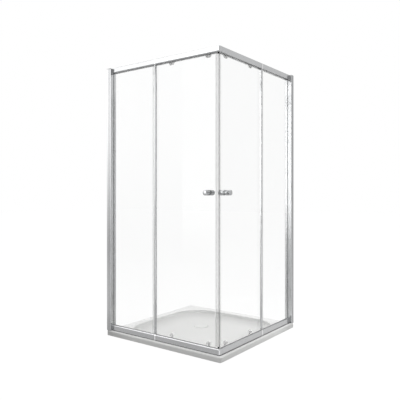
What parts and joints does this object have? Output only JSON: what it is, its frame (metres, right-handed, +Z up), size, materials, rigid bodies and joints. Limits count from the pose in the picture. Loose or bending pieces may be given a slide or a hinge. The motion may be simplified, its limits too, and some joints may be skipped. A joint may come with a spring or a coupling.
{
  "type": "shower enclosure",
  "caption": "Square corner-entry shower enclosure: sliding glass doors meet at the corner beside fixed panes, in metal rails and wall profiles on a low white tray.",
  "frame": {"origin": "middle of the tray's underside", "axes": "+Z up; the left side faces -Y with its wall at -X, the right side faces +X with its wall at +Y"},
  "size_m": [1, 1, 1.938],
  "materials": {
    "polished_aluminium": "polished, bright anodised",
    "clear_glass": "clear toughened glass",
    "white_tray": "white gloss",
    "chrome": "bright chrome plating",
    "clear_seal": "clear soft PVC",
    "magnet_strip": "pale grey soft PVC over a magnet core",
    "grey_plastic": "light grey moulded",
    "white_wheel": "white acetal",
    "black_plastic": "black moulded",
    "black_rubber": "black rubber",
    "steel": "stainless steel"
  },
  "bodies": {
    "frame": {"shower_tray": "white_tray", "top_corner_connector": "polished_aluminium", "bottom_corner_connector": "polished_aluminium", "jamb_gaskets": "clear_seal", "profile_caps": "grey_plastic", "adjuster_screws": "steel", "rail_end_plugs": "grey_plastic", "rail_clips": "steel", "door_stops": "black_rubber", "left_wall_profile": "polished_aluminium", "left_jamb": "polished_aluminium", "left_fixed_glass": "clear_glass", "left_post": "polished_aluminium", "left_top_rail": "polished_aluminium", "left_bottom_rail": "polished_aluminium", "right_wall_profile": "polished_aluminium", "right_jamb": "polished_aluminium", "right_fixed_glass": "clear_glass", "right_post": "polished_aluminium", "right_top_rail": "polished_aluminium", "right_bottom_rail": "polished_aluminium"},
    "drain_cover": {"drain_cover": "white_tray"},
    "left_door": {"left_door_glass": "clear_glass", "left_door_edge_profile": "clear_seal", "left_magnet_strip": "magnet_strip", "left_rear_seal": "clear_seal", "left_outer_knob": "chrome", "left_inner_knob": "chrome", "left_knob_bolt": "steel", "left_knob_washers": "clear_seal", "left_upper_brackets": "grey_plastic", "left_upper_axles": "steel", "left_lower_guides": "grey_plastic", "left_release_springs": "steel", "left_clamp_plates": "grey_plastic"},
    "left_upper_wheel_front": {"left_upper_wheel_front": "white_wheel"},
    "left_lower_wheel_front": {"left_lower_wheel_front": "white_wheel"},
    "left_release_slider_front": {"left_release_slider_front": "black_plastic"},
    "left_upper_wheel_rear": {"left_upper_wheel_rear": "white_wheel"},
    "left_lower_wheel_rear": {"left_lower_wheel_rear": "white_wheel"},
    "left_release_slider_rear": {"left_release_slider_rear": "black_plastic"},
    "right_door": {"right_door_glass": "clear_glass", "right_door_edge_profile": "clear_seal", "right_magnet_strip": "magnet_strip", "right_rear_seal": "clear_seal", "right_outer_knob": "chrome", "right_inner_knob": "chrome", "right_knob_bolt": "steel", "right_knob_washers": "clear_seal", "right_upper_brackets": "grey_plastic", "right_upper_axles": "steel", "right_lower_guides": "grey_plastic", "right_release_springs": "steel", "right_clamp_plates": "grey_plastic"},
    "right_upper_wheel_front": {"right_upper_wheel_front": "white_wheel"},
    "right_lower_wheel_front": {"right_lower_wheel_front": "white_wheel"},
    "right_release_slider_front": {"right_release_slider_front": "black_plastic"},
    "right_upper_wheel_rear": {"right_upper_wheel_rear": "white_wheel"},
    "right_lower_wheel_rear": {"right_lower_wheel_rear": "white_wheel"},
    "right_release_slider_rear": {"right_release_slider_rear": "black_plastic"}
  },
  "joints": [
    {"name": "drain_cover_lift", "type": "slide", "parent": "frame", "child": "drain_cover", "axis": [0, 0, 1], "range_m": [0, 0.06]},
    {"name": "left_door_slide", "type": "slide", "parent": "frame", "child": "left_door", "axis": [-1, 0, 0], "range_m": [0, 0.355]},
    {"name": "left_upper_wheel_front_spin", "type": "hinge", "parent": "left_door", "child": "left_upper_wheel_front", "pos_m": [0.375, -0.445, 1.9223], "axis": [0, -1, 0], "continuous": true},
    {"name": "left_release_slider_front_press", "type": "slide", "parent": "left_door", "child": "left_release_slider_front", "axis": [0, 0, 1], "range_m": [0, 0.006], "stiffness_N_per_m": 400, "springref_m": -0.004, "deforming": ["left_release_springs"]},
    {"name": "left_lower_wheel_front_spin", "type": "hinge", "parent": "left_release_slider_front", "child": "left_lower_wheel_front", "pos_m": [0.375, -0.445, 0.0563], "axis": [0, -1, 0], "continuous": true},
    {"name": "left_upper_wheel_rear_spin", "type": "hinge", "parent": "left_door", "child": "left_upper_wheel_rear", "pos_m": [0.074, -0.445, 1.9223], "axis": [0, -1, 0], "continuous": true},
    {"name": "left_release_slider_rear_press", "type": "slide", "parent": "left_door", "child": "left_release_slider_rear", "axis": [0, 0, 1], "range_m": [0, 0.006], "stiffness_N_per_m": 400, "springref_m": -0.004, "deforming": ["left_release_springs"]},
    {"name": "left_lower_wheel_rear_spin", "type": "hinge", "parent": "left_release_slider_rear", "child": "left_lower_wheel_rear", "pos_m": [0.074, -0.445, 0.0563], "axis": [0, -1, 0], "continuous": true},
    {"name": "right_door_slide", "type": "slide", "parent": "frame", "child": "right_door", "axis": [0, 1, 0], "range_m": [0, 0.355]},
    {"name": "right_upper_wheel_front_spin", "type": "hinge", "parent": "right_door", "child": "right_upper_wheel_front", "pos_m": [0.445, -0.375, 1.9223], "axis": [-1, 0, 0], "continuous": true},
    {"name": "right_release_slider_front_press", "type": "slide", "parent": "right_door", "child": "right_release_slider_front", "axis": [0, 0, 1], "range_m": [0, 0.006], "stiffness_N_per_m": 400, "springref_m": -0.004, "deforming": ["right_release_springs"]},
    {"name": "right_lower_wheel_front_spin", "type": "hinge", "parent": "right_release_slider_front", "child": "right_lower_wheel_front", "pos_m": [0.445, -0.375, 0.0563], "axis": [-1, 0, 0], "continuous": true},
    {"name": "right_upper_wheel_rear_spin", "type": "hinge", "parent": "right_door", "child": "right_upper_wheel_rear", "pos_m": [0.445, -0.074, 1.9223], "axis": [-1, 0, 0], "continuous": true},
    {"name": "right_release_slider_rear_press", "type": "slide", "parent": "right_door", "child": "right_release_slider_rear", "axis": [0, 0, 1], "range_m": [0, 0.006], "stiffness_N_per_m": 400, "springref_m": -0.004, "deforming": ["right_release_springs"]},
    {"name": "right_lower_wheel_rear_spin", "type": "hinge", "parent": "right_release_slider_rear", "child": "right_lower_wheel_rear", "pos_m": [0.445, -0.074, 0.0563], "axis": [-1, 0, 0], "continuous": true}
  ],
  "couplings": [
    {"joint": "left_upper_wheel_front_spin", "follows": "left_door_slide", "rad_per_m": 111.11},
    {"joint": "left_lower_wheel_front_spin", "follows": "left_door_slide", "rad_per_m": 111.11},
    {"joint": "left_upper_wheel_rear_spin", "follows": "left_door_slide", "rad_per_m": 111.11},
    {"joint": "left_lower_wheel_rear_spin", "follows": "left_door_slide", "rad_per_m": 111.11},
    {"joint": "right_upper_wheel_front_spin", "follows": "right_door_slide", "rad_per_m": 111.11},
    {"joint": "right_lower_wheel_front_spin", "follows": "right_door_slide", "rad_per_m": 111.11},
    {"joint": "right_upper_wheel_rear_spin", "follows": "right_door_slide", "rad_per_m": 111.11},
    {"joint": "right_lower_wheel_rear_spin", "follows": "right_door_slide", "rad_per_m": 111.11}
  ]
}
